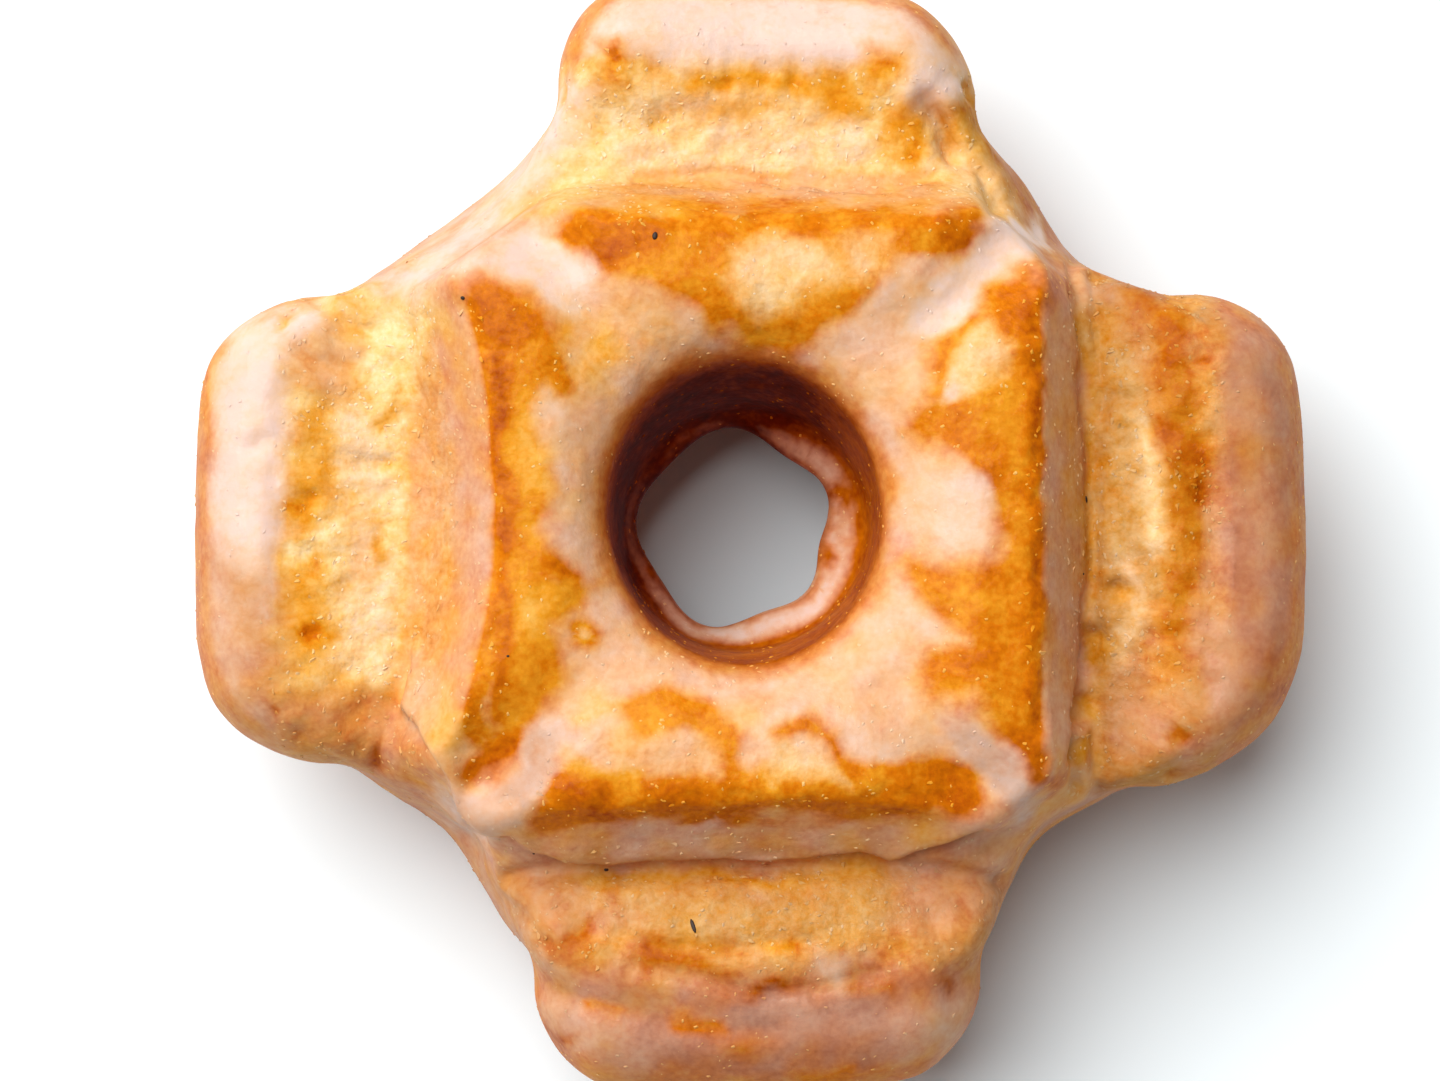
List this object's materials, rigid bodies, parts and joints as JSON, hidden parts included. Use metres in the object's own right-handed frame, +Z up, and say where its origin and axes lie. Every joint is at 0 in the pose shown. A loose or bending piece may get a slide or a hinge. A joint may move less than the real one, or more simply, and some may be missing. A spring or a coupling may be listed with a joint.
{
  "type": "old-fashioned glazed doughnut",
  "caption": "Square old-fashioned ring doughnut, fried open into a raised crown and rolled petals round its centre hole, thinly glazed, resting on its flat underside.",
  "frame": {"origin": "centre of the bounding box at the flat underside", "axes": "+Z up along the hole, +X to the right and +Y to the top of the picture, each along a petal"},
  "size_m": [0.0914, 0.0918, 0.0343],
  "materials": {
    "glazed_crust": "fried dough, golden to deep brown, under a thin clear to milky sugar glaze"
  },
  "bodies": {
    "root": {"doughnut": "glazed_crust"}
  },
  "joints": []
}
